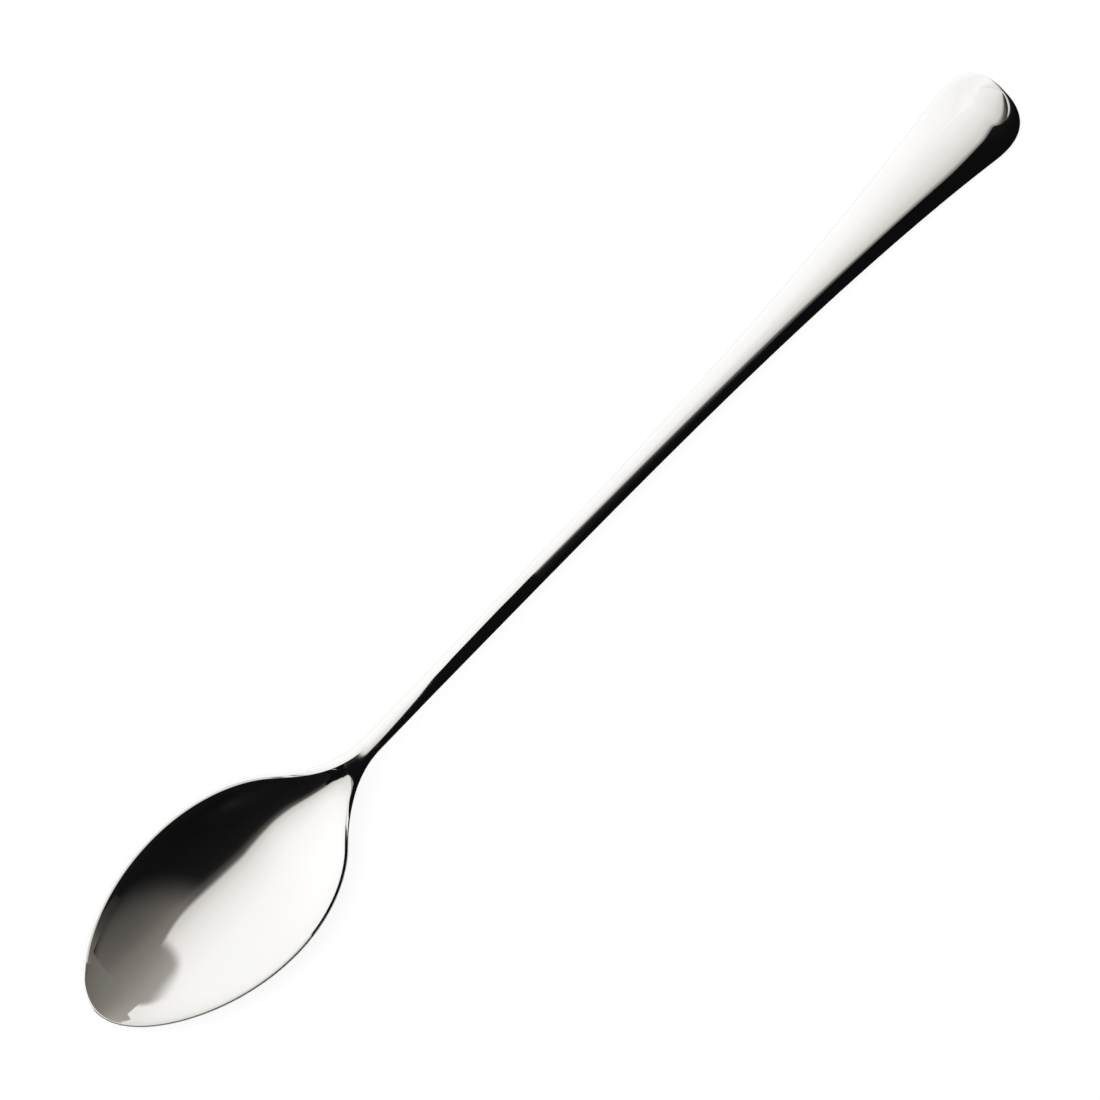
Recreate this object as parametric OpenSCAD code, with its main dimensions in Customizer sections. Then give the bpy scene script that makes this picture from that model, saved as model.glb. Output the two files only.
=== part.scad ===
// Long-handled spoon for iced tea: one piece of polished steel, lying at rest
// on the underside of its bowl and of its handle end.
// Along +X it runs from the handle end to the tip of the bowl, +Z is up, and
// the table is the plane Z = 0.

/* [Whole spoon] */
// Length from the end of the handle to the tip of the bowl
spoon_l = 195; // [180:1:215]

/* [Bowl seen from above] */
// Width over the outside of the rim at the widest place
bowl_w = 29.4; // [26:0.2:33]
// Distance from the tip to the widest place
bowl_tip_l = 26.3; // [23:0.1:29]
// Length of the oval behind the widest place
bowl_back_l = 22; // [20:0.1:24]
// How much the oval is drawn in towards the tip, as a share of its width
tip_taper_share = 0.12; // [0:0.01:0.15]
// Angle round the back oval at which its edge turns into the neck
neck_turn = 55.5; // [50:0.5:62]

/* [Bowl seen from the side] */
// Depth inside, from the top of the rim to the deepest place
bowl_depth = 5.9; // [5:0.1:6.5]
// Metal under the deepest place
bowl_wall = 1.2; // [1:0.1:1.5]
// Distance from the tip to the deepest place
deep_l = 32; // [29:0.5:34]
// Distance from the neck end of the hollow to the start of the stem
heel_l = 4.7; // [3.5:0.1:6]
// Thickness of the rounded rim
rim_t = 0.8; // [0.7:0.05:1]
// Flat on top of the rim, between its rounding and the hollow
rim_land = 0.2; // [0.1:0.05:0.4]
// Slope at which the underside runs into the rounded rim and the stem's sides
underturn = 32; // [24:1:38]
// Height of the rim at the shoulders above the rim at the tip
shoulder_rise = 5; // [3.5:0.1:6]
// Distance from the tip to the shoulders, where the rim is highest
shoulder_l = 43; // [41:0.5:45]
// Drop from the rim at the shoulders to the middle of the stem
neck_drop = 1.5; // [1:0.1:2]

/* [Neck and stem] */
// Width of the stem at the neck
stem_w = 3.25; // [3:0.05:3.8]
// Thickness of the rounded sides of the stem
stem_edge_t = 1.4; // [1.2:0.05:1.6]
// Width of each sloping flank of the stem, beside its narrow crown
stem_flank_w = 0.75; // [0.6:0.05:0.9]
// Distance from the tip to the place where the stem starts to widen
stem_end_l = 70; // [66:1:85]
// Length of the handle end that lies flat on the table
level_l = 5; // [3:0.5:8]
// Length over which the handle levels out before that
settle_l = 14; // [8:1:20]

/* [Handle] */
// Width the handle would reach at its end without the rounded corners
handle_w = 16.5; // [14.5:0.1:18]
// Length of the rounded handle end
end_l = 9; // [7.5:0.1:11]
// Thickness of the rounded edge at the end
end_edge_t = 1; // [0.8:0.05:1.2]
// Width that the sloping flank would reach at the handle end
handle_flank_w = 3.5; // [2.8:0.1:3.8]
// Width of the flank at the corners of the rounded end
corner_flank_w = 4.5; // [3.8:0.1:5]
// Width of the flank across the very end
end_land = 0.35; // [0.2:0.05:0.6]
// Slope of the flank along the stem and the handle
flank_slope = 24; // [18:1:28]
// Slope of the crown where it meets the flank
crown_slope = 4; // [2:0.5:8]

/* [Hidden] */

// Half of a full turn and of a half turn
turn_half = 180;
turn_quarter = 90;

// Steps along each stretch of the outline
tip_steps = 16;
back_steps = 9;
neck_steps = 10;
stem_steps = 6;
handle_steps = 20;
end_steps = 12;

// Steps round each part of a cross-section
edge_steps = 6;
flank_steps = 2;
hollow_steps = 7;
belly_steps = 7;

bowl_hw = bowl_w / 2;
stem_hw = stem_w / 2;
handle_hw = handle_w / 2;
end_start_l = spoon_l - end_l;

// Where the back oval hands over to the neck: a curve that runs out into the
// stem at no slope
turn_l = bowl_tip_l + bowl_back_l * sin(neck_turn);
turn_hw = bowl_hw * cos(neck_turn);
turn_slope = bowl_hw / bowl_back_l * tan(neck_turn);
neck_l = 2 * (turn_hw - stem_hw) / turn_slope;
stem_start_l = turn_l + neck_l;

// Powers that set how quickly each curve bends
handle_power = 3.6;
corner_power = 2.45;
flank_power = 2;
hollow_power = 1.3;
hollow_tip_power = 1.3;
hollow_back_power = 2;
belly_power = 1;
belly_back_power = 1.25;

// Share of the widening of the handle that is an even taper
handle_taper_share = 0.13;

// The flank grows wider and less steep towards the corners of the handle end:
// it starts to before the rounded end, by this share of the end's length, and
// has done so at this share of the rounded end
corner_start_share = 1;
corner_full_share = 0.75;
corner_slope_share = 0.65;

// The hollow ends a little before the stem starts, and the belly runs on
// under the neck as far as the stem
hollow_l = stem_start_l - heel_l;
belly_l = stem_start_l;

// Slope of the rim line where it leaves the tip, as a share of its mean slope
tip_slope_share = 1.3;

// Rise from nought to one with no slope and no bend at either end
function ease(t) =
    let (c = min(1, max(0, t)))
    c * c * c * (10 + c * (6 * c - 15));
function share_of(d, from, to) = (d - from) / (to - from);
function between(a, b, t) = a + (b - a) * t;

// Curve over one step of length l from a to b, with slopes ga and gb
function bend(t, l, a, b, ga, gb) =
    let (u = t * t, v = u * t)
    a * (1 - 3 * u + 2 * v) + b * (3 * u - 2 * v)
    + l * (ga * (t - 2 * u + v) + gb * (v - u));

// Half outline seen from above: distance from the tip, and half width
function handle_grow(d) =
    let (t = share_of(d, stem_end_l, spoon_l))
    stem_hw + (handle_hw - stem_hw)
    * (handle_taper_share * t + (1 - handle_taper_share) * pow(t, handle_power));
tip_curve = [
    for (i = [0 : tip_steps])
        let (a = turn_quarter * i / tip_steps)
        [
            bowl_tip_l * (1 - cos(a)),
            bowl_hw * sin(a) * (1 - tip_taper_share * cos(a) * cos(a))
        ]
];
back_curve = [
    for (i = [1 : back_steps])
        let (a = neck_turn * i / back_steps)
        [bowl_tip_l + bowl_back_l * sin(a), bowl_hw * cos(a)]
];
neck_curve = [
    for (i = [1 : neck_steps])
        let (t = i / neck_steps)
        [turn_l + neck_l * t, between(stem_hw, turn_hw, (1 - t) * (1 - t))]
];
stem_curve = [
    for (i = [1 : stem_steps])
        [between(stem_start_l, stem_end_l, i / stem_steps), stem_hw]
];
handle_curve = [
    for (i = [1 : handle_steps])
        let (d = between(stem_end_l, end_start_l, i / handle_steps))
        [d, handle_grow(d)]
];
end_curve = [
    for (i = [1 : end_steps])
        let (
            a = turn_quarter * i / end_steps,
            d = end_start_l + end_l * pow(sin(a), 2 / corner_power),
            share = i == end_steps ? 0 : pow(cos(a), 2 / corner_power)
        )
        [d, handle_grow(d) * share]
];
outline = concat(tip_curve, back_curve, neck_curve, stem_curve, handle_curve, end_curve);
last = len(outline) - 1;

// Outward direction of the outline at each of its points
function outward(i) =
    i == 0 ? [-1, 0]
    : i == last ? [1, 0]
    : let (run = outline[i + 1] - outline[i - 1])
        [-run[1], run[0]] / norm(run);

// How far a distance d from the tip has come to the neck, to the handle end,
// and to the corners of that end
function to_neck(d) = ease(share_of(d, shoulder_l, hollow_l));
function to_end(d) = ease(share_of(d, stem_end_l, end_start_l));
function to_corner(d) = ease(share_of(
    d,
    end_start_l - end_l * corner_start_share,
    end_start_l + end_l * corner_full_share
));

// Radius of the rounded edge, and the slopes that its rounding starts from
// below and ends at above
function edge_r(d) =
    between(
        between(rim_t, stem_edge_t, ease(share_of(d, shoulder_l, stem_start_l))),
        end_edge_t,
        to_end(d)
    ) / 2;
function slope_under(d) = underturn * (1 - to_end(d));
function slope_over(d) =
    flank_slope * to_neck(d) * between(1, corner_slope_share, to_corner(d));

// Width of the flank at point i of the outline: over the bowl it is the flat
// land of the rim, and across the handle end it narrows again
function flank_w(i) =
    let (
        d = outline[i][0],
        side_w = between(rim_land, stem_flank_w, to_neck(d))
            + (handle_flank_w - stem_flank_w)
                * pow(max(0, share_of(d, stem_end_l, spoon_l)), flank_power)
            + (corner_flank_w - handle_flank_w) * to_corner(d)
    )
    d > end_start_l ? between(end_land, side_w, outward(i)[1]) : side_w;

// Depth of the hollow and of the belly along the middle line: nought at the
// front, one at the deepest place and nought again at the back
function dome(d, front, back, front_power, back_power) =
    d < deep_l ? pow(max(0, 1 - pow((deep_l - d) / (deep_l - front), 2)), front_power)
    : pow(max(0, 1 - pow((d - deep_l) / (back - deep_l), 2)), back_power);
rim_r = rim_t / 2;
function hollow_drop(d) =
    d > hollow_l ? 0
    : bowl_depth * dome(d, rim_r + rim_land, hollow_l, hollow_tip_power, hollow_back_power);
belly_depth = bowl_depth + bowl_wall - rim_r - rim_r * cos(underturn);
function belly_drop(d) =
    d > belly_l ? 0
    : belly_depth
        * dome(d, rim_r * (1 - sin(underturn)), belly_l, belly_power, belly_back_power);

// Rim line over the bowl, measured from the rim at the tip
function rim_line(d) =
    bend(d / shoulder_l, shoulder_l, 0, shoulder_rise,
        tip_slope_share * shoulder_rise / shoulder_l, 0);

// Point of the outline moved straight inwards: distance from the tip, and
// half width
function inward(i, inset) = outline[i] - outward(i) * inset;
function under_inset(i) =
    let (d = outline[i][0])
    edge_r(d) * (1 - sin(slope_under(d)));

// Lowest place of the belly: the table touches it there, and the handle end
// comes down to the same height
belly_low = min([
    for (i = [0 : tip_steps + back_steps])
        rim_line(outline[i][0]) - rim_r * cos(underturn)
        - belly_drop(inward(i, under_inset(i))[0])
]);
end_z = belly_low + end_edge_t / 2;
neck_z = shoulder_rise - neck_drop;
level_start_l = spoon_l - level_l;
settle_start_l = level_start_l - settle_l;
stem_slope = (neck_z - end_z) / (settle_start_l - stem_start_l + settle_l / 2);

// Height of the middle of the edge at a distance d from the tip: straight
// down the stem, then level at the end
function stem_line(d) =
    d < settle_start_l ? neck_z - stem_slope * (d - stem_start_l)
    : end_z + stem_slope * pow(max(0, level_start_l - d), 2) / (2 * settle_l);
function edge_line(d) =
    (d < shoulder_l ? rim_line(d)
    : d < stem_start_l ? bend((d - shoulder_l) / (stem_start_l - shoulder_l),
        stem_start_l - shoulder_l, shoulder_rise, neck_z, 0, -stem_slope)
    : stem_line(d)) - belly_low;

// Crown of the handle and swell of the stem's underside, from the half width
// hw that they stand on
function crown(d, hw) =
    hw * tan(crown_slope) / 2 * ease(share_of(d, shoulder_l, stem_start_l));
function swell(d, hw) =
    hw * tan(slope_under(d)) / 2 * ease(2 * share_of(d, hollow_l, stem_end_l));

// Height above the edge of the hollow and crown, and depth below it of the
// underside, at a share r of the half width from the middle line
function over(d, hw, r) =
    let (open = 1 - r * r)
    crown(d, hw) * open - hollow_drop(d) * pow(open, hollow_power);
function under(d, hw, r) =
    let (open = 1 - r * r)
    swell(d, hw) * open + belly_drop(d) * pow(open, belly_power);
over_shares = [
    for (k = [hollow_steps - 1 : -1 : 1 - hollow_steps]) sin(turn_quarter * k / hollow_steps)
];
under_shares = [
    for (k = [1 - belly_steps : belly_steps - 1]) sin(turn_quarter * k / belly_steps)
];

// Point in the frame of the part from distance along, across and up
function placed(d, y, z) = [spoon_l / 2 - d, y, z];

// Rounded edge and flank on one side of a section, from the underside up to
// the hollow or crown
function profile(i, side) =
    let (
        d0 = outline[i][0],
        r = edge_r(d0),
        w = flank_w(i),
        slope = slope_over(d0),
        low = slope_under(d0) - turn_quarter,
        high = turn_quarter - slope
    )
    [
        for (k = [0 : edge_steps + flank_steps])
            let (
                a = between(low, high, min(1, k / edge_steps)),
                flat = w * max(0, k - edge_steps) / flank_steps,
                p = inward(i, r * (1 - cos(a)) + flat)
            )
            placed(p[0], side * p[1], edge_line(d0) + r * sin(a) + flat * tan(slope))
    ];
function section(i) =
    let (
        left = profile(i, 1),
        right = profile(i, -1),
        top = left[profile_n - 1],
        low = left[0],
        top_d = spoon_l / 2 - top[0],
        low_d = spoon_l / 2 - low[0]
    )
    concat(
        left,
        [for (r = over_shares) [top[0], top[1] * r, top[2] + over(top_d, top[1], r)]],
        [for (k = [profile_n - 1 : -1 : 0]) right[k]],
        [for (r = under_shares) [low[0], low[1] * r, low[2] - under(low_d, low[1], r)]]
    );

// The sections between the two ends are closed rings; at each end the ring
// folds to the bare profile of edge and flank
profile_n = edge_steps + flank_steps + 1;
over_n = len(over_shares);
under_n = len(under_shares);
ring_n = 2 * profile_n + over_n + under_n;
skin_points = concat(
    profile(0, 1),
    [for (i = [1 : last - 1]) each section(i)],
    profile(last, 1)
);
function folded(j) =
    j < profile_n ? j
    : j < profile_n + over_n ? profile_n - 1
    : j < 2 * profile_n + over_n ? 2 * profile_n + over_n - 1 - j
    : 0;
function at(i, j) =
    let (w = j % ring_n)
    i == 0 ? folded(w)
    : i == last ? profile_n + (last - 1) * ring_n + folded(w)
    : profile_n + (i - 1) * ring_n + w;
skin_faces = [
    for (i = [0 : last - 1])
        for (j = [0 : ring_n - 1])
            for (f = [
                [at(i, j), at(i, j + 1), at(i + 1, j + 1)],
                [at(i, j), at(i + 1, j + 1), at(i + 1, j)]
            ])
                if (f[0] != f[1] && f[1] != f[2] && f[0] != f[2]) f
];

module spoon() {
    color("silver")
        polyhedron(points = skin_points, faces = skin_faces, convexity = 6);
}

spoon();
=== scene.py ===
"""Iced tea spoon: one piece of mirror-polished stainless steel on a pale floor."""

import math

import bpy
from mathutils import Matrix, Vector


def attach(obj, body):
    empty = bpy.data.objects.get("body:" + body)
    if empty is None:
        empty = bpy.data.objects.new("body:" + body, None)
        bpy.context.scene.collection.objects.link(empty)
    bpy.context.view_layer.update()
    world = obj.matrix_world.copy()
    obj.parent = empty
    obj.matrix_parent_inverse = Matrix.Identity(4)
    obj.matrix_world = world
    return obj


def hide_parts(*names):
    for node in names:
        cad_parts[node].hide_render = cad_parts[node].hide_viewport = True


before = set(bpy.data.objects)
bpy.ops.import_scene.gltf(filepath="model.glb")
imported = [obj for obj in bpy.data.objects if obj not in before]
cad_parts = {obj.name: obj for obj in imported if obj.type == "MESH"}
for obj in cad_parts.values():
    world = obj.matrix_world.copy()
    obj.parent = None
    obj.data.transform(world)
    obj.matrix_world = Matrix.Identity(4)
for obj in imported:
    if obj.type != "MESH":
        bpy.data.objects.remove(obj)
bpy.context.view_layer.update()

# ---- Spoon ----
# One piece of stainless steel: a blank cut from strip, its stem and handle forged,
# its bowl pressed between dies, and all of it polished to a mirror. One rule gives
# its skin: a cross-section carried from the tip of the bowl to the handle's end.

mm = 0.001
quarter_turn = math.pi / 2

spoon_sizes = {
    "Spoon length": 195 * mm,
    "Bowl width": 29.4 * mm,
    "Bowl tip length": 26.3 * mm,
    "Bowl back length": 22 * mm,
    "Tip taper share": 0.12,
    "Neck turn": math.radians(55.5),
    "Bowl depth": 5.9 * mm,
    "Bowl wall": 1.2 * mm,
    "Deepest place": 32 * mm,
    "Heel length": 4.7 * mm,
    "Rim thickness": 0.8 * mm,
    "Rim land": 0.2 * mm,
    "Shoulder rise": 5 * mm,
    "Shoulder place": 43 * mm,
    "Neck drop": 1.5 * mm,
    "Stem width": 3.25 * mm,
    "Stem flank": 0.75 * mm,
    "Stem edge": 1.4 * mm,
    "Stem end": 70 * mm,
    "Level length": 5 * mm,
    "Settling length": 14 * mm,
    "Handle width": 16.5 * mm,
    "Handle end length": 9 * mm,
    "Handle end edge": 1 * mm,
    "Handle flank": 3.5 * mm,
    "End flank": 4.5 * mm,
    "End land": 0.35 * mm,
    "Flank slope": math.radians(24),
    "Crown slope": math.radians(4),
    "Rim underturn": math.radians(32),
}

# Steps that each stretch takes from the tip to the handle's end, and steps
# that each part of half a cross-section takes from the belly to the hollow
tip_rings, back_rings, neck_rings = 56, 30, 40
stem_rings, handle_rings, end_rings = 20, 70, 44
belly_steps, edge_steps, flank_steps, hollow_steps = 22, 10, 10, 26

# Powers that bend the outline, the flanks, the hollow and the belly
handle_power = 3.6
corner_power = 2.45
flank_power = 2
hollow_power = 1.3
hollow_tip_power = 1.3
hollow_back_power = 2
belly_power = 1.0
belly_back_power = 1.25

# Shares of a widening, a rise or a slope
taper_share = 0.13
flank_bulge = 0.4
tip_slope_share = 1.3
corner_slope_share = 0.65
corner_start_share = 0.75
end_fall_share = 0.88


def add_node(tree, kind, links=(), **settings):
    """Adds one node with its settings, its values and its links."""
    node = tree.nodes.new(kind)
    for name, value in settings.items():
        setattr(node, name, value)
    for name, source in dict(links).items():
        if isinstance(source, Measure):
            source = source.socket
        if isinstance(source, bpy.types.NodeSocket):
            tree.links.new(source, node.inputs[name])
        else:
            node.inputs[name].default_value = source
    return node


def reckon(operation, *values):
    """Lays one sum in the tree that the measures among the values belong to."""
    tree = next(value.socket.id_data for value in values if isinstance(value, Measure))
    node = add_node(tree, "ShaderNodeMath", dict(enumerate(values)), operation=operation)
    return Measure(node.outputs[0])


class Measure:
    """A length, share or angle that a tree works out; sums on it lay nodes there."""

    def __init__(self, socket):
        self.socket = socket

    def __add__(self, other):
        return reckon("ADD", self, other)

    def __radd__(self, other):
        return reckon("ADD", other, self)

    def __sub__(self, other):
        return reckon("SUBTRACT", self, other)

    def __rsub__(self, other):
        return reckon("SUBTRACT", other, self)

    def __mul__(self, other):
        return reckon("MULTIPLY", self, other)

    def __rmul__(self, other):
        return reckon("MULTIPLY", other, self)

    def __truediv__(self, other):
        return reckon("DIVIDE", self, other)

    def __pow__(self, other):
        return reckon("POWER", self, other)


def sine(angle):
    return reckon("SINE", angle)


def cosine(angle):
    return reckon("COSINE", angle)


def stretch(place, start, count):
    """Share from nought to one that a place has covered of one stretch."""
    share = (place - start) / count
    node = add_node(share.socket.id_data, "ShaderNodeClamp", {0: share})
    return Measure(node.outputs[0])


def ease(value, start, end, low=0, high=1, curve="SMOOTHERSTEP"):
    """Goes smoothly from low to high while a value goes from start to end."""
    links = {"Value": value, "From Min": start, "From Max": end, "To Min": low, "To Max": high}
    tree = value.socket.id_data
    node = add_node(tree, "ShaderNodeMapRange", links, interpolation_type=curve)
    return Measure(node.outputs[0])


spoon_tree = bpy.data.node_groups.new("Spoon skin", "GeometryNodeTree")
spoon_tree.interface.new_socket("Spoon", in_out="OUTPUT", socket_type="NodeSocketGeometry")
for name, size in spoon_sizes.items():
    spoon_tree.interface.new_socket(name, in_out="INPUT", socket_type="NodeSocketFloat")
spoon_tree.interface.new_socket("Steel", in_out="INPUT", socket_type="NodeSocketMaterial")
sizes_in = add_node(spoon_tree, "NodeGroupInput")
size = {name: Measure(sizes_in.outputs[name]) for name in spoon_sizes}

bowl_hw = size["Bowl width"] / 2
stem_hw = size["Stem width"] / 2
handle_hw = size["Handle width"] / 2
end_start = size["Spoon length"] - size["Handle end length"]
turn_place = size["Bowl tip length"] + size["Bowl back length"] * sine(size["Neck turn"])
turn_hw = bowl_hw * cosine(size["Neck turn"])
turn_slope = bowl_hw / size["Bowl back length"] * reckon("TANGENT", size["Neck turn"])
neck_length = 2 * (turn_hw - stem_hw) / turn_slope
stem_start = turn_place + neck_length
hollow_end = stem_start - size["Heel length"]
neck_height = size["Shoulder rise"] - size["Neck drop"]

back_start = tip_rings
neck_start = back_start + back_rings
stem_ring = neck_start + neck_rings
handle_ring = stem_ring + stem_rings
end_ring = handle_ring + handle_rings
last_ring = end_ring + end_rings


def plan_outline(place):
    """Distance from the tip, and half width, at a place along the rings."""
    tip_turn = stretch(place, 0, tip_rings) * quarter_turn
    back_turn = stretch(place, back_start, back_rings) * size["Neck turn"]
    neck_share = stretch(place, neck_start, neck_rings)
    stem_share = stretch(place, stem_ring, stem_rings)
    handle_share = stretch(place, handle_ring, handle_rings)
    end_turn = stretch(place, end_ring, end_rings) * quarter_turn
    along = (
        size["Bowl tip length"] * (1 - cosine(tip_turn))
        + size["Bowl back length"] * sine(back_turn)
        + neck_length * neck_share
        + (size["Stem end"] - stem_start) * stem_share
        + (end_start - size["Stem end"]) * handle_share
        + size["Handle end length"] * sine(end_turn) ** (2 / corner_power)
    )
    bowl = (
        bowl_hw
        * sine(tip_turn)
        * (1 - size["Tip taper share"] * cosine(tip_turn) ** 2)
        * cosine(back_turn)
    )
    handle_reach = reckon("MAXIMUM", along - size["Stem end"], 0)
    handle_reach = handle_reach / (size["Spoon length"] - size["Stem end"])
    widening = taper_share * handle_reach + (1 - taper_share) * handle_reach**handle_power
    rest = (
        stem_hw
        + (turn_hw - stem_hw) * (1 - neck_share) ** 2
        + (handle_hw - stem_hw) * widening
    ) * reckon("MAXIMUM", cosine(end_turn), 0) ** (2 / corner_power)
    in_bowl = reckon("LESS_THAN", place, neck_start)
    choices = {"Switch": in_bowl, "False": rest, "True": bowl}
    pick = add_node(spoon_tree, "GeometryNodeSwitch", choices, input_type="FLOAT")
    return along, Measure(pick.outputs[0])


def outward(place):
    """Direction square to the outline, pointing out of the spoon."""
    part_ring = 0.2
    ahead = plan_outline(reckon("MINIMUM", place + part_ring, last_ring))
    behind = plan_outline(reckon("MAXIMUM", place - part_ring, 0))
    run_along, run_across = ahead[0] - behind[0], ahead[1] - behind[1]
    length = reckon("SQRT", run_along**2 + run_across**2)
    return 0 - run_across / length, run_along / length


def edge_thickness(along):
    """Thickness of the rim, then of the stem's edge, then of the handle's end."""
    at_neck = ease(along, size["Shoulder place"], stem_start)
    at_end = ease(along, size["Stem end"], end_start)
    thickness = size["Rim thickness"] + (size["Stem edge"] - size["Rim thickness"]) * at_neck
    return thickness + (size["Handle end edge"] - thickness) * at_end


def dome(along, front, end, front_power, back_power):
    """Rises from nought at the front to one at the deepest place and back."""
    deep = size["Deepest place"]
    before = stretch(deep - along, 0, deep - front)
    behind = stretch(along - deep, 0, end - deep)
    return (1 - before**2) ** front_power * (1 - behind**2) ** back_power


def rim_height(along):
    """Height of the rim over the rim at the tip, up to the shoulders."""
    share = stretch(along, 0, size["Shoulder place"])
    start_slope = tip_slope_share * size["Shoulder rise"]
    return (
        size["Shoulder rise"] * share**2 * (3 - 2 * share)
        + start_slope * share * (1 - share) ** 2
    )


rim_r = size["Rim thickness"] / 2
rim_under = rim_r * cosine(size["Rim underturn"])
belly_depth = size["Bowl depth"] + size["Bowl wall"] - rim_r - rim_under


def belly_drop(along):
    """Depth of the belly under the rim's underside."""
    front = rim_r * (1 - sine(size["Rim underturn"]))
    return belly_depth * dome(along, front, stem_start, belly_power, belly_back_power)


# Lowest place of the belly, found along a line of points under the bowl: the
# handle end comes down to the same height
probe_points = 600
probe = add_node(spoon_tree, "GeometryNodeMeshLine", {"Count": probe_points})
probe_index = Measure(add_node(spoon_tree, "GeometryNodeInputIndex").outputs[0])
probe_place = probe_index / (probe_points - 1) * stem_start
lowest = add_node(
    spoon_tree,
    "GeometryNodeAttributeStatistic",
    {
        "Geometry": probe.outputs["Mesh"],
        "Attribute": rim_height(probe_place) - rim_under - belly_drop(probe_place),
    },
    data_type="FLOAT",
)
belly_low = Measure(lowest.outputs["Min"])

level_start = size["Spoon length"] - size["Level length"]
settle_start = level_start - size["Settling length"]
end_height = size["Handle end edge"] / 2
stem_slope = (neck_height - belly_low - end_height) / (
    settle_start - stem_start + size["Settling length"] / 2
)


def edge_height(along):
    """Height of the middle of the rounded edge above the table."""
    neck_share = stretch(along, size["Shoulder place"], stem_start - size["Shoulder place"])
    neck_run = stem_start - size["Shoulder place"]
    over_neck = (
        rim_height(along)
        - size["Neck drop"] * neck_share**2 * (3 - 2 * neck_share)
        + stem_slope * neck_run * neck_share**2 * (1 - neck_share)
        - belly_low
    )
    past_start = reckon("MAXIMUM", along - stem_start, 0)
    settled = reckon("MAXIMUM", along - settle_start, 0)
    settled = reckon("MINIMUM", settled, size["Settling length"])
    beyond = reckon("MAXIMUM", along - level_start, 0)
    falling = past_start - beyond - settled**2 / (2 * size["Settling length"])
    return over_neck - stem_slope * falling


ring_index = Measure(add_node(spoon_tree, "GeometryNodeInputIndex").outputs[0])
half_steps = belly_steps + edge_steps + flank_steps + hollow_steps
points_round = 2 * half_steps + 1
ring = reckon("FLOOR", (ring_index + 0.5) / points_round)
turn = ring_index - ring * points_round
side = reckon("SIGN", half_steps - turn)
climb = half_steps - reckon("ABSOLUTE", half_steps - turn)

outline_along, outline_hw = plan_outline(ring)
out_along, out_across = outward(ring)

belly_share = sine(stretch(climb, 0, belly_steps) * quarter_turn)
edge_share = stretch(climb, belly_steps, edge_steps)
flank_share = stretch(climb, belly_steps + edge_steps, flank_steps)
top_turn = stretch(climb, belly_steps + edge_steps + flank_steps, hollow_steps)
top_share = cosine(top_turn * quarter_turn)

toward_neck = ease(outline_along, size["Shoulder place"], hollow_end)
toward_end = ease(outline_along, size["Stem end"], end_start)
handle_share = reckon("MAXIMUM", outline_along - size["Stem end"], 0)
handle_share = (handle_share / (size["Spoon length"] - size["Stem end"])) ** flank_power
toward_corner = ease(
    outline_along,
    end_start - size["Handle end length"],
    end_start + size["Handle end length"] * corner_start_share,
)
round_end = reckon("GREATER_THAN", outline_along, end_start)

# The rounded edge starts from the underside and ends where it meets the
# slope of the flank; over the bowl that flank is the flat land of the rim
edge_r = edge_thickness(outline_along) / 2
flank_slope = size["Flank slope"] * toward_neck
flank_slope = flank_slope * (1 - (1 - corner_slope_share) * toward_corner)
underturn = size["Rim underturn"] * (1 - toward_end)
edge_low = underturn - quarter_turn
open_reach = (
    size["Rim land"]
    + (size["Stem flank"] - size["Rim land"]) * toward_neck
    + (size["Handle flank"] - size["Stem flank"]) * handle_share
    + (size["End flank"] - size["Handle flank"]) * toward_corner
)
flank_reach = open_reach + (size["End land"] - open_reach) * round_end * (1 - out_across)

# Round the handle end the top comes down to the edge in one smooth curve
top_along = outline_along - out_along * (edge_r + flank_reach)
top_run = size["Handle end length"] - size["Handle end edge"] / 2 - size["End land"]
top_fall = end_fall_share * stretch(top_along, end_start, top_run) ** 2
flank_tangent = reckon("TANGENT", flank_slope) * (1 - top_fall) * open_reach / flank_reach
flank_start = reckon("ARCTANGENT", flank_tangent * (1 + flank_bulge))
edge_turn = edge_low + (2 * quarter_turn - flank_start - underturn) * edge_share
inset = edge_r * (1 - cosine(edge_turn)) + flank_reach * flank_share
along = outline_along - out_along * inset
half_width = reckon("MAXIMUM", outline_hw - out_across * inset, 0)
across = side * half_width * belly_share * top_share

flank_rise = flank_reach * flank_tangent
flank_rise = flank_rise * flank_share * (1 + flank_bulge * (1 - flank_share))
crown = half_width * reckon("TANGENT", size["Crown slope"]) / 2
crown = crown * ease(along, size["Shoulder place"], stem_start)
stem_under = half_width * reckon("TANGENT", underturn) / 2
stem_under = stem_under * ease(along, hollow_end, (hollow_end + size["Stem end"]) / 2)
hollow_start = rim_r + size["Rim land"]
hollow = size["Bowl depth"] * dome(
    along, hollow_start, hollow_end, hollow_tip_power, hollow_back_power
)
top_open = 1 - top_share**2
under_open = 1 - belly_share**2
height = (
    edge_height(outline_along)
    + edge_r * sine(edge_turn)
    + flank_rise
    + crown * top_open
    - hollow * top_open**hollow_power
    - stem_under * under_open
    - belly_drop(along) * under_open**belly_power
)

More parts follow.
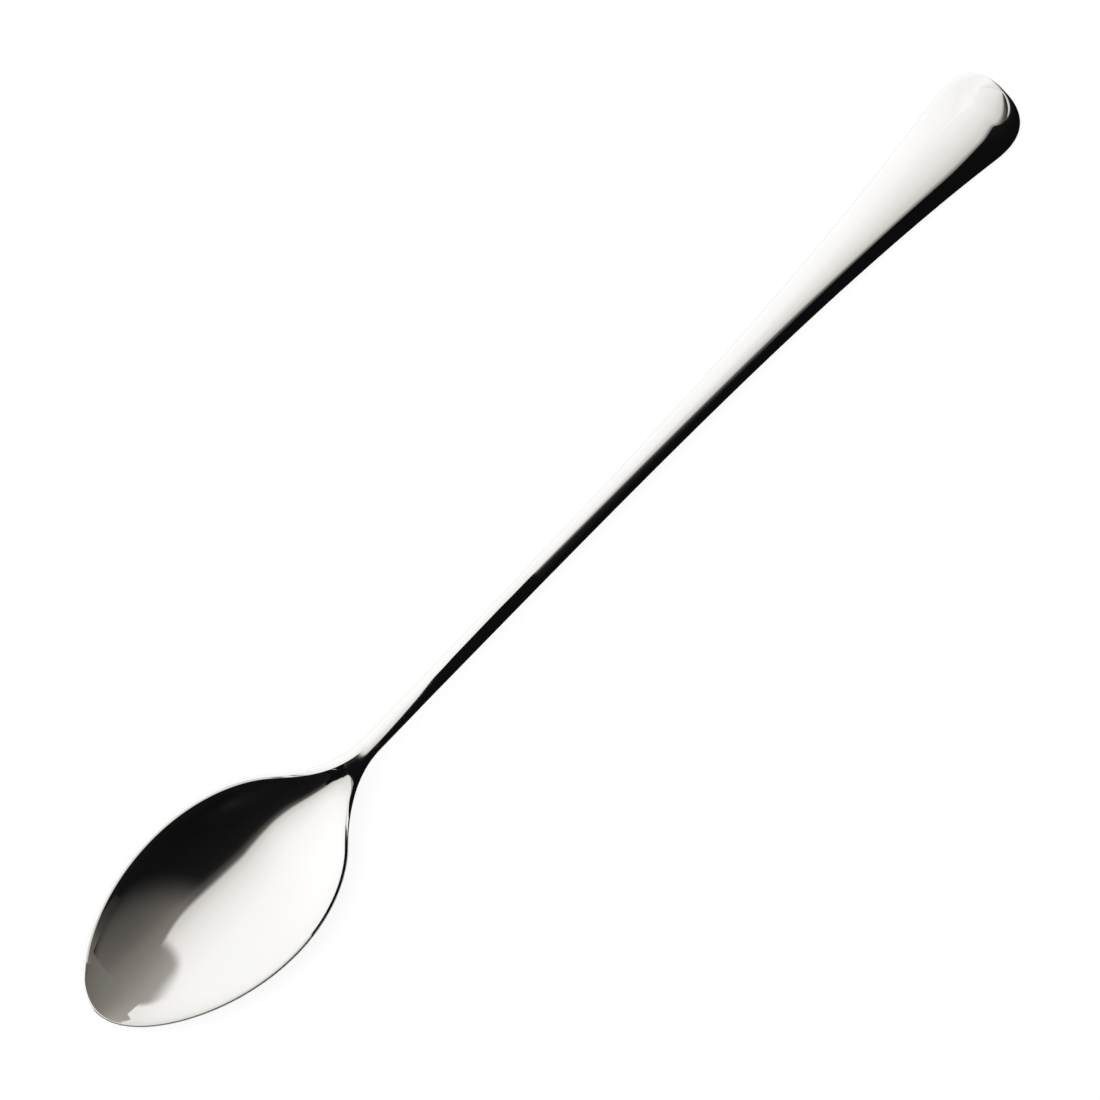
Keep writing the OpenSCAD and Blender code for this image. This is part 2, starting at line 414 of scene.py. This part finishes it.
skin = add_node(
    spoon_tree,
    "GeometryNodeMeshGrid",
    {"Vertices X": last_ring + 1, "Vertices Y": points_round},
)
point = add_node(
    spoon_tree,
    "ShaderNodeCombineXYZ",
    {"X": size["Spoon length"] / 2 - along, "Y": across, "Z": height},
)
shaped = add_node(
    spoon_tree,
    "GeometryNodeSetPosition",
    {"Geometry": skin.outputs["Mesh"], "Position": point.outputs[0]},
)
same_place = 0.0005 * mm
closed = add_node(
    spoon_tree,
    "GeometryNodeMergeByDistance",
    {"Geometry": shaped.outputs[0], "Distance": same_place},
)
smooth = add_node(spoon_tree, "GeometryNodeSetShadeSmooth", {"Geometry": closed.outputs[0]})
real = add_node(spoon_tree, "GeometryNodeRealizeInstances", {"Geometry": smooth.outputs[0]})
coated = add_node(
    spoon_tree,
    "GeometryNodeSetMaterial",
    {"Geometry": real.outputs[0], "Material": sizes_in.outputs["Steel"]},
)
add_node(spoon_tree, "NodeGroupOutput", {"Spoon": coated.outputs[0]})


def hex_colour(code):
    """Turns a written sRGB colour into the linear one that the shader takes."""
    parts = [int(code[i : i + 2], 16) / 255 for i in (1, 3, 5)]
    linear = [c / 12.92 if c <= 0.04045 else ((c + 0.055) / 1.055) ** 2.4 for c in parts]
    return (*linear, 1)


def new_material(name):
    """Starts a material, and gives it with its empty tree."""
    material = bpy.data.materials.new(name)
    material.use_nodes = True
    material.node_tree.nodes.clear()
    return material, material.node_tree


# Stainless steel, mirror polished on buffing wheels: it shows the room almost
# unblurred, a little warm, with a faint haze in patches of some 18 mm and buffing
# lines along the spoon that only soften highlights. Real lines are some 0.01 mm
# apart; these are drawn 0.3 mm apart and 17 mm long so that they show.
lines_per_metre = (60, 3300, 3300)
patches_per_metre = 55
steel, nodes = new_material("stainless_steel_mirror_polished")
spot = add_node(nodes, "ShaderNodeTexCoord").outputs["Object"]
buffed = add_node(nodes, "ShaderNodeMapping", {"Vector": spot, "Scale": lines_per_metre})
lines = add_node(
    nodes, "ShaderNodeTexNoise", {"Vector": buffed.outputs[0], "Scale": 1, "Detail": 3}
)
haze = add_node(
    nodes, "ShaderNodeTexNoise", {"Vector": spot, "Scale": patches_per_metre, "Detail": 2}
)
haze_colour = add_node(
    nodes,
    "ShaderNodeMix",
    {0: haze.outputs[0], 6: hex_colour("#f1f0ee"), 7: hex_colour("#f5f4f3")},
    data_type="RGBA",
)
roughness = add_node(
    nodes,
    "ShaderNodeMapRange",
    {
        "Value": haze.outputs[0],
        "From Min": 0.35,
        "From Max": 0.65,
        "To Min": 0.03,
        "To Max": 0.055,
    },
)
relief = add_node(
    nodes,
    "ShaderNodeBump",
    {"Height": lines.outputs[0], "Strength": 0.02, "Distance": 0.002 * mm},
)
surface = add_node(
    nodes,
    "ShaderNodeBsdfPrincipled",
    {
        "Base Color": haze_colour.outputs[2],
        "Roughness": roughness.outputs[0],
        "Normal": relief.outputs[0],
        "Metallic": 1.0,
    },
)
add_node(nodes, "ShaderNodeOutputMaterial", {"Surface": surface.outputs[0]})

former = bpy.data.objects.new("spoon_former", bpy.data.meshes.new("spoon_former"))
bpy.context.scene.collection.objects.link(former)
skinning = former.modifiers.new("Spoon skin", "NODES")
skinning.node_group = spoon_tree
for socket in spoon_tree.interface.items_tree:
    if socket.in_out == "INPUT":
        skinning[socket.identifier] = spoon_sizes.get(socket.name, steel)
built = former.evaluated_get(bpy.context.evaluated_depsgraph_get())
spoon_mesh = bpy.data.meshes.new_from_object(built)
bpy.data.objects.remove(former)
spoon_mesh.name = "spoon_steel"
spoon = bpy.data.objects.new("spoon_steel", spoon_mesh)
bpy.context.scene.collection.objects.link(spoon)
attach(spoon, "root")
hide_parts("spoon")

# ---- Floor ----
# A table top of matt white laminate, wide enough to run out of sight. The camera
# and the steel see it nearly white, and it keeps the spoon's soft shadow.

half_floor = 4
white_share = 0.75

floor_mesh = bpy.data.meshes.new("floor")
floor_corners = [(-1, -1), (1, -1), (1, 1), (-1, 1)]
floor_mesh.from_pydata(
    [(x * half_floor, y * half_floor, 0) for x, y in floor_corners], [], [(0, 1, 2, 3)]
)
floor = bpy.data.objects.new("floor", floor_mesh)
bpy.context.scene.collection.objects.link(floor)
laminate, nodes = new_material("matt_white_laminate")
matt = add_node(nodes, "ShaderNodeBsdfDiffuse", {"Color": hex_colour("#f7f7f7")})
glow = add_node(nodes, "ShaderNodeEmission", {"Color": (1, 1, 1, 1), "Strength": 1})
path = add_node(nodes, "ShaderNodeLightPath").outputs
seen = reckon("MAXIMUM", Measure(path["Is Camera Ray"]), Measure(path["Is Glossy Ray"]))
seen = reckon("MAXIMUM", seen, Measure(path["Is Transmission Ray"]))
mixed = add_node(
    nodes,
    "ShaderNodeMixShader",
    {0: seen * white_share, 1: matt.outputs[0], 2: glow.outputs[0]},
)
add_node(nodes, "ShaderNodeOutputMaterial", {"Surface": mixed.outputs[0]})
floor_mesh.materials.append(laminate)

# ---- Tent ----
# A glowing dome over the spoon, a painted reflection, is what its polished steel
# shows: white on the near side, painted dimmer and then black towards the far side,
# and a painted brownish grey over the tip. Only reflections see it, so it sends no
# light to the floor.

tent_radius = 0.35
tent_x = 75 * mm
tent_light = 1.12
degree = math.degrees(1)


def fade(value, start, end, low=0, high=1):
    """Like ease, with the gentler curve of a soft edge in a reflection."""
    return ease(value, start, end, low, high, "SMOOTHSTEP")


def shade_at(place, stops):
    """Colour at a place between stops, each a place and a written sRGB colour."""
    low, high = stops[0][0], stops[-1][0]
    ramp = add_node(place.socket.id_data, "ShaderNodeValToRGB", {0: (place - low) / (high - low)})
    elements = ramp.color_ramp.elements
    while len(elements) < len(stops):
        elements.new(1)
    for element, (stop, colour) in zip(elements, stops):
        element.position = (stop - low) / (high - low)
    for element, (stop, colour) in zip(elements, stops):
        element.color = hex_colour(colour)
    return ramp.outputs[0]


# Where on the dome's painted reflection, seen from the middle: lean is degrees from
# straight up towards the far side, swing is degrees from over the handle to over the tip
tent_painted_reflection, nodes = new_material("tent_painted_reflection")
spot = add_node(nodes, "ShaderNodeTexCoord")
way = add_node(nodes, "ShaderNodeSeparateXYZ", {0: spot.outputs["Object"]})
way_x, way_y, way_z = (Measure(part) for part in way.outputs)
lean = reckon("ARCTAN2", way_y, way_z) * degree
swing = reckon("ARCSINE", way_x / tent_radius) * degree

# Swing and lean of points on the edge of the painted black of the dome
edge_points = (
    (-90, 25),
    (-42, 25),
    (-33, 24.3),
    (-30, 23.5),
    (-27, 21.3),
    (-24, 18.2),
    (-21, 14.6),
    (-18, 11.6),
    (-16, 9.5),
    (-14, 6),
    (-12.6, 14),
    (-11, 20),
    (-8, 22),
    (-6, 26),
    (0, 27),
    (10, 25.5),
    (20, 29.5),
    (30, 36.5),
    (42, 47.5),
    (90, 50),
)
widest = 90
span = 2 * widest
edge = add_node(nodes, "ShaderNodeFloatCurve", {"Value": (swing + widest) / span})
curve = edge.mapping.curves[0]
while len(curve.points) < len(edge_points):
    curve.points.new(1, 1)
for point, (x, y) in zip(curve.points, edge_points):
    point.location = ((x + widest) / span, (y + widest) / span)
edge.mapping.update()
painted_dark_edge = Measure(edge.outputs[0]) * span - widest

# The edge shows crisper on the handle's side, most of all past straight up
crispness = fade(lean, -16, 6, 0.2, 1.7) * fade(swing, -7, -9) + 1
past_edge = (lean - painted_dark_edge) * crispness
painted_reflection_shades = (
    (-90, "#ffffff"),
    (-70, "#fafafa"),
    (-55, "#f7f7f6"),
    (-45, "#f2f2f1"),
    (-35, "#ececea"),
    (-25, "#e5e4e2"),
    (-20, "#e1e0de"),
    (-15, "#dad8d6"),
    (-10, "#d2d0cd"),
    (-5, "#c9c6c2"),
    (-2.5, "#a29f9b"),
    (0, "#656260"),
    (2.5, "#4f4c4a"),
    (5, "#42403e"),
    (10, "#201f1f"),
    (15, "#171617"),
    (25, "#141415"),
    (60, "#0c0c0e"),
)

# The painted grey over the tip: its edge and the blur of its edge go with the lean
painted_grey_edge = fade(lean, 15, 32, -3.2, 3.5)
painted_grey_blur = fade(lean, 18, 32, 0.8, 3.2)
painted_grey_mask = fade(swing, painted_grey_edge - painted_grey_blur, painted_grey_edge + painted_grey_blur, 1, 0)
painted_grey_mask = painted_grey_mask * fade(swing, -8, -6.8) * fade(lean, -20, -6)
painted_grey_shades = (
    (-15, "#a8a39e"),
    (-5, "#9b9691"),
    (0, "#94908b"),
    (10, "#87837e"),
    (20, "#7c7873"),
    (30, "#736f6a"),
    (40, "#625e5a"),
    (50, "#575350"),
    (60, "#4b4845"),
    (70, "#403d3b"),
    (90, "#2a2826"),
)
painted_reflection_colour = add_node(
    nodes,
    "ShaderNodeMix",
    {0: painted_grey_mask, 6: shade_at(past_edge, painted_reflection_shades), 7: shade_at(lean, painted_grey_shades)},
    data_type="RGBA",
)
lit = add_node(
    nodes, "ShaderNodeEmission", {"Color": painted_reflection_colour.outputs[2], "Strength": tent_light}
)
add_node(nodes, "ShaderNodeOutputMaterial", {"Surface": lit.outputs[0]})


def only_in_reflections(thing):
    """Hides a studio piece from all but the rays that steel reflects."""
    thing.visible_camera = False
    thing.visible_diffuse = False
    thing.visible_transmission = False
    thing.visible_shadow = False


tent_mesh = bpy.data.meshes.new("tent")
columns, rows = 96, 24
points = []
for row in range(rows):
    rise = quarter_turn * row / rows
    for column in range(columns):
        round_turn = 4 * quarter_turn * column / columns
        points.append(
            (
                tent_radius * math.cos(rise) * math.cos(round_turn),
                tent_radius * math.cos(rise) * math.sin(round_turn),
                tent_radius * math.sin(rise),
            )
        )
top_point = len(points)
points.append((0, 0, tent_radius))
faces = []
for start in range(0, top_point, columns):
    for column in range(columns):
        beside = (column + 1) % columns
        over = start + columns
        if over < top_point:
            faces.append((start + column, start + beside, over + beside, over + column))
        else:
            faces.append((start + column, start + beside, top_point))
tent_mesh.from_pydata(points, [], faces)
tent_mesh.materials.append(tent_painted_reflection)
tent = bpy.data.objects.new("tent", tent_mesh)
tent.location.x = tent_x
bpy.context.scene.collection.objects.link(tent)
only_in_reflections(tent)

# ---- Flag and sheets of painted reflection ----
# Flat glowing sheets hung under the tent, painted reflections in black, grey and
# white, which draw the dark fork at the neck and carry the grey on to the rim. Only reflections
# see them too.


def plain_painted_reflection(name, colour, light):
    """A glowing sheet of one shade: a painted reflection."""
    material, nodes = new_material(name)
    lit = add_node(nodes, "ShaderNodeEmission", {"Color": hex_colour(colour), "Strength": light})
    add_node(nodes, "ShaderNodeOutputMaterial", {"Surface": lit.outputs[0]})
    return material


def graded_painted_reflection(name, axis, stops):
    """A glowing sheet whose painted shade follows the place along one axis, in millimetres: a
    painted reflection.
    """
    material, nodes = new_material(name)
    spot = add_node(nodes, "ShaderNodeTexCoord")
    way = add_node(nodes, "ShaderNodeSeparateXYZ", {0: spot.outputs["Object"]})
    shade = shade_at(Measure(way.outputs[axis]) / mm, stops)
    lit = add_node(nodes, "ShaderNodeEmission", {"Color": shade, "Strength": tent_light})
    add_node(nodes, "ShaderNodeOutputMaterial", {"Surface": lit.outputs[0]})
    return material


def hang(name, height, corners, cloth):
    """Hangs a flat piece level over the spoon; corners are x and y in millimetres."""
    mesh = bpy.data.meshes.new(name)
    mesh.from_pydata(
        [(x * mm, y * mm, height) for x, y in corners], [], [tuple(range(len(corners)))]
    )
    mesh.materials.append(cloth)
    piece = bpy.data.objects.new(name, mesh)
    bpy.context.scene.collection.objects.link(piece)
    only_in_reflections(piece)


# The flag, a sheet of painted black reflection, is held over the neck and the stem: the neck
# reflects its edge
painted_dark_reflection = plain_painted_reflection("black_painted_reflection", "#0e0e10", 1)
flag_corners = (
    (36, 18),
    (46, 19),
    (64, 20.5),
    (73, 34),
    (73, 260),
    (-2, 260),
    (-2, 12),
    (6, -17),
    (17, -17),
    (19, 0),
    (21, 9),
    (23.5, 14),
    (25, 17.5),
    (28, 20.8),
    (30, 22.8),
    (33, 25),
    (35.8, 26),
)
hang("flag", 80 * mm, flag_corners, painted_dark_reflection)

# A small sheet of painted grey reflection close over the tip, painted lighter towards its far
# side
tip_stops = (
    (-4, "#5d5a57"),
    (-3, "#64615e"),
    (-1.2, "#6b6864"),
    (0, "#716e69"),
    (1.1, "#7a7671"),
    (1.7, "#827e79"),
    (2.2, "#8c8883"),
    (2.9, "#98948f"),
    (4.3, "#a39f9a"),
)
tip_corners = (
    (91.3, -5),
    (99.8, -5),
    (99.8, 4.3),
    (94.8, 4.3),
    (94.2, 3.4),
    (91.3, 3.2),
)
hang("tip_painted_reflection", 8 * mm, tip_corners, graded_painted_reflection("tip_grey_painted_reflection", "Y", tip_stops))

# A darker sheet of painted grey reflection along the near edge of the bowl, painted lighter
# towards the tip
near_stops = (
    (82.5, "#23211f"),
    (84, "#2f2d2b"),
    (86, "#383533"),
    (88, "#42403d"),
    (90, "#5a5754"),
    (92, "#666360"),
    (94, "#787571"),
)
near_corners = (
    (82.5, -10.6),
    (86, -9.9),
    (89, -8.9),
    (91.5, -7.4),
    (93.8, -5.6),
    (92.6, -4.6),
    (91, -5.6),
    (88.6, -6.2),
    (85.5, -6.6),
    (82.5, -7.8),
)
hang("near_painted_reflection", 6 * mm, near_corners, graded_painted_reflection("near_dark_painted_reflection", "X", near_stops))

# A sheet of painted white reflection over the neck keeps the far shoulder bright beside the flag
shoulder_corners = (
    (47, 14.2),
    (41, 14.2),
    (38.8, 18),
    (38, 24),
    (37.6, 32),
    (39, 32),
    (41, 28),
    (46, 20),
)
# Its white glow is a painted reflection, seen only by the steel
white_painted_reflection = plain_painted_reflection("white_painted_reflection", "#ecebea", tent_light)
hang("shoulder_painted_reflection", 40 * mm, shoulder_corners, white_painted_reflection)

# A small sheet of painted black reflection beside it draws the dark fork where the bowl begins
fork_corners = (
    (38, 14),
    (37.9, 9.5),
    (38.2, 7),
    (38.8, 6.2),
    (40, 6.1),
    (42.5, 7.4),
    (44.5, 8.5),
    (48, 9),
    (51, 8.8),
    (55, 10.2),
    (58, 11.5),
    (62, 13.8),
    (65, 17),
    (69, 19.8),
    (73, 21.8),
    (75, 24),
    (73, 29),
    (64, 26),
    (53, 22),
    (49.5, 17.5),
    (47, 14.2),
)
hang("fork_painted_reflection", 40 * mm, fork_corners, painted_dark_reflection)

# A sheet of painted black reflection laid on the floor along the far rim deepens the rim's dark
# line
strip_x = 71
inner_arc = [
    (strip_x + 27 * math.cos(math.radians(turn)), 15 * math.sin(math.radians(turn)))
    for turn in range(0, 131, 10)
]
outer_arc = [(strip_x + (x - strip_x) * 1.7, y * 1.9) for x, y in reversed(inner_arc)]
hang("rim_strip", 0.5 * mm, inner_arc + outer_arc, painted_dark_reflection)

# ---- Light ----
# A plain white surround, and one softbox that hangs over the near side and gives
# the spoon its soft shadow. The steel shows the tent, and not the softbox.

world = bpy.data.worlds.new("studio")
bpy.context.scene.world = world
world.use_nodes = True
nodes = world.node_tree
nodes.nodes.clear()
sky = add_node(nodes, "ShaderNodeBackground", {"Color": (1, 1, 1, 1), "Strength": 1})
add_node(nodes, "ShaderNodeOutputWorld", {"Surface": sky.outputs[0]})

lamp_watts = 4
lamp_data = bpy.data.lights.new("softbox", "AREA")
lamp_data.shape = "RECTANGLE"
lamp_data.size, lamp_data.size_y = 0.9, 0.6
lamp_data.energy = lamp_watts
lamp = bpy.data.objects.new("softbox", lamp_data)
lamp.location = (0, -0.55, 0.75)
lamp.rotation_euler = (-lamp.location).to_track_quat("-Z", "Y").to_euler()
lamp.visible_glossy = False
bpy.context.scene.collection.objects.link(lamp)

# ---- Camera ----
# It looks down from 74 degrees on the near side, as for the photograph, with the
# spoon on the slant, so that the handle climbs to the upper right.

view_lift = math.radians(74)
handle_slant = math.radians(45.33)
stand_off = 1.0
sensor_width = 36
photo_width = 1100
spoon_in_photo = 1293

view_way = Vector((0, math.cos(view_lift), -math.sin(view_lift)))
far_side = Vector((0, math.sin(view_lift), math.cos(view_lift)))
to_handle = Vector((-1, 0, 0))
right = to_handle * math.cos(handle_slant) + far_side * math.sin(handle_slant)
up = to_handle * math.sin(handle_slant) - far_side * math.cos(handle_slant)

# The middle of the picture lies a few of its pixels from the spoon's middle
pixel = spoon_sizes["Spoon length"] / spoon_in_photo
aim = (right * 3 - up * 3 - far_side * 2.9) * pixel

camera_data = bpy.data.cameras.new("camera")
camera_data.sensor_width = sensor_width
camera_data.lens = sensor_width * stand_off / (photo_width * pixel)
camera = bpy.data.objects.new("camera", camera_data)
turned = Matrix((right, up, -view_way)).transposed().to_4x4()
camera.matrix_world = Matrix.Translation(aim - view_way * stand_off) @ turned
bpy.context.scene.collection.objects.link(camera)
bpy.context.scene.camera = camera

bpy.context.scene.view_settings.view_transform = "Standard"
